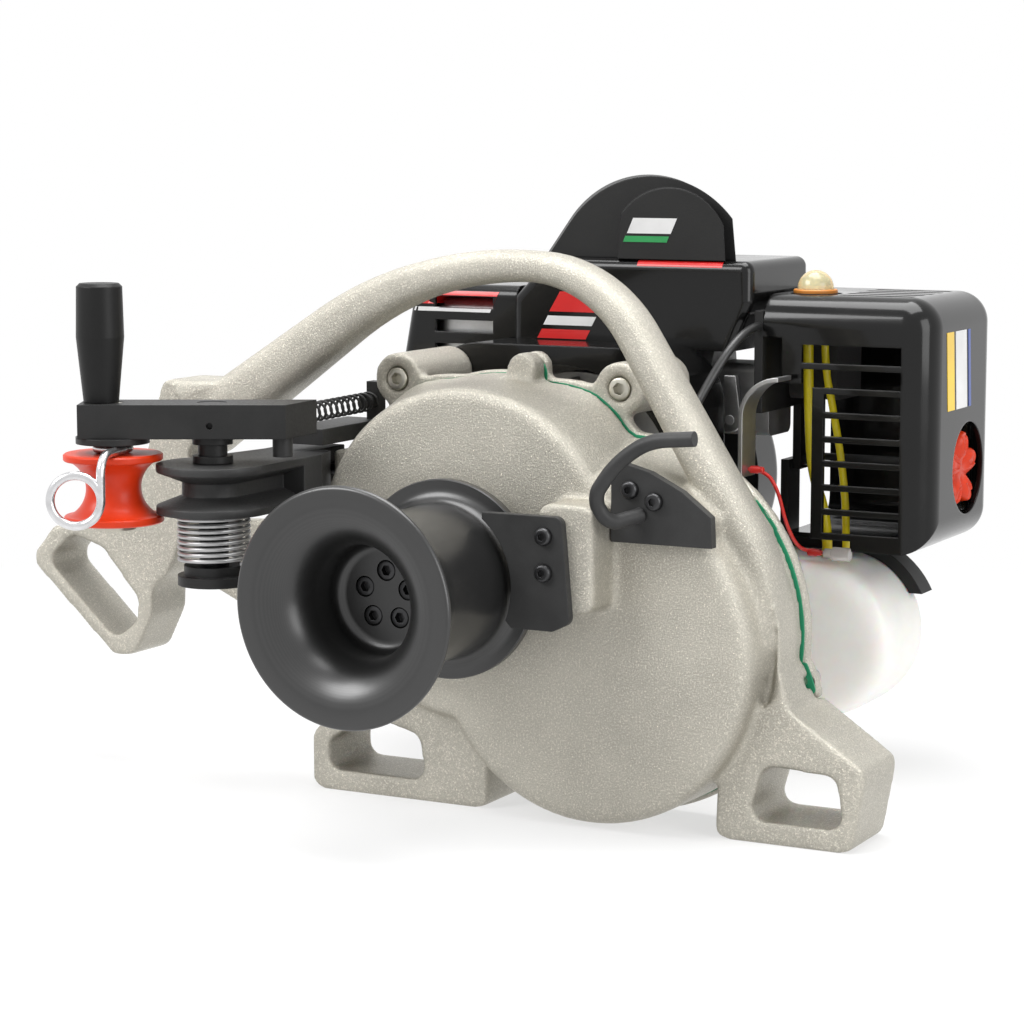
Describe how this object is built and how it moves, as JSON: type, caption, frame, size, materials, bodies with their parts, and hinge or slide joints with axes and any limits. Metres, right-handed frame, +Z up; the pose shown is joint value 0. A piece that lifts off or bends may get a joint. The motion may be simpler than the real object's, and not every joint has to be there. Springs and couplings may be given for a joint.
{
  "type": "portable capstan winch",
  "caption": "Portable petrol-engine capstan winch: cast gear case with carrying arch and strap feet, flared rope drum, rope guide with clamp lever and roller, small two-stroke engine behind.",
  "frame": {"origin": "on the ground under the middle of the bounding box", "axes": "+Z up, +Y from the drum back to the engine, +X to the right seen from the drum"},
  "size_m": [0.5304, 0.4188, 0.3478],
  "materials": {
    "cast_alloy": "sand-cast, bare",
    "drum_alloy": "dark anodised, satin",
    "black_alloy": "dark anodised",
    "black_steel": "powder coated",
    "steel": "turned",
    "zinc": "zinc plated",
    "chrome": "polished",
    "red_plastic": "satin",
    "grip_rubber": "matt",
    "gloss_black": "gloss",
    "matt_grey": "grained",
    "tank_plastic": "translucent",
    "primer_rubber": "clear, soft",
    "gasket": "matt",
    "yellow_hose": "clear",
    "black_hose": "satin",
    "red_wire": "satin",
    "foam": "open cell",
    "engine_alloy": "die-cast"
  },
  "bodies": {
    "frame": {"button_screws": "zinc", "carburettor": "engine_alloy", "case_gasket": "gasket", "case_screws": "zinc", "crankcase": "engine_alloy", "cylinder": "engine_alloy", "cylinder_shroud": "gloss_black", "drum_bearings": "steel", "drum_seal": "grip_rubber", "engine_bolts": "zinc", "fan_housing": "engine_alloy", "filter_base": "matt_grey", "filter_cover": "gloss_black", "filter_element": "foam", "front_case": "cast_alloy", "fuel_lines": "yellow_hose", "fuel_tank": "tank_plastic", "guide_block": "black_alloy", "muffler": "steel", "muffler_guard": "gloss_black", "rear_case": "cast_alloy", "return_spring": "black_steel", "rope_hook": "black_steel", "shaft_bearings": "steel", "spring_bracket": "black_steel", "starter_grip": "grip_rubber", "starter_housing": "gloss_black", "stop_wire": "red_wire", "stripper_plate": "black_steel", "tank_bracket": "matt_grey", "tank_stand": "black_steel", "throttle_hose": "black_hose", "throttle_strap": "chrome", "top_cover": "matt_grey", "torsion_spring": "steel"},
    "drum_body": {"drum": "drum_alloy", "drum_bolts": "zinc", "drum_shaft": "steel", "final_gear": "steel"},
    "lay_body": {"layshaft": "steel", "layshaft_gear": "steel"},
    "input_body": {"input_pinion": "steel", "clutch_bell": "steel"},
    "crank_body": {"crankshaft": "steel", "clutch_shoes": "steel", "flywheel": "engine_alloy"},
    "lever_body": {"lever_bar": "black_alloy", "lever_grip": "grip_rubber", "pivot_shaft": "steel", "pivot_collars": "steel", "spring_cup": "steel", "stop_pin": "zinc", "roller_axle": "zinc", "roller_washer": "zinc"},
    "roller_body": {"roller": "red_plastic"},
    "ring_body": {"ring_clip": "chrome"},
    "throttle_body": {"throttle_lever": "steel"},
    "primer_body": {"primer_bulb": "primer_rubber"},
    "knob_body": {"filter_knob": "red_plastic"},
    "cap_body": {"fuel_cap": "matt_grey"}
  },
  "joints": [
    {"name": "drum_turn", "type": "hinge", "parent": "frame", "child": "drum_body", "pos_m": [0.03388, -0.07257, 0.133], "axis": [0, 1, 0], "continuous": true},
    {"name": "layshaft_turn", "type": "hinge", "parent": "frame", "child": "lay_body", "pos_m": [0.11111, -0.04257, 0.09517], "axis": [0, 1, 0], "continuous": true},
    {"name": "input_turn", "type": "hinge", "parent": "frame", "child": "input_body", "pos_m": [0.03388, -0.01257, 0.16332], "axis": [0, 1, 0], "continuous": true},
    {"name": "crank_turn", "type": "hinge", "parent": "frame", "child": "crank_body", "pos_m": [0.03388, 0.07743, 0.16332], "axis": [0, 1, 0], "continuous": true},
    {"name": "lever_swing", "type": "hinge", "parent": "frame", "child": "lever_body", "pos_m": [-0.08512, -0.13457, 0.193], "axis": [0, 0, 1], "range_deg": [-40, 0], "stiffness_Nm_per_rad": 3, "springref_deg": 5.73, "deforming": ["return_spring"]},
    {"name": "roller_turn", "type": "hinge", "parent": "lever_body", "child": "roller_body", "pos_m": [-0.13311, -0.15976, 0.179], "axis": [0, 0, 1], "continuous": true},
    {"name": "ring_swing", "type": "hinge", "parent": "lever_body", "child": "ring_body", "pos_m": [-0.13311, -0.15976, 0.2027], "axis": [0, 0, 1], "range_deg": [-60, 15]},
    {"name": "throttle_swing", "type": "hinge", "parent": "frame", "child": "throttle_body", "pos_m": [0.11988, 0.09843, 0.2065], "axis": [0, 1, 0], "range_deg": [-50, 0], "stiffness_Nm_per_rad": 0.05},
    {"name": "primer_press", "type": "slide", "parent": "frame", "child": "primer_body", "axis": [0, 0, -1], "range_m": [0, 0.005], "stiffness_N_per_m": 600},
    {"name": "knob_turn", "type": "hinge", "parent": "frame", "child": "knob_body", "pos_m": [0.23388, 0.15943, 0.179], "axis": [1, 0, 0], "continuous": true},
    {"name": "cap_turn", "type": "hinge", "parent": "frame", "child": "cap_body", "pos_m": [-0.04412, 0.13043, 0.08132], "axis": [1, 0, 0], "continuous": true}
  ],
  "couplings": [
    {"joint": "layshaft_turn", "follows": "drum_turn", "ratio": -5.6154},
    {"joint": "input_turn", "follows": "drum_turn", "ratio": 23.304}
  ]
}
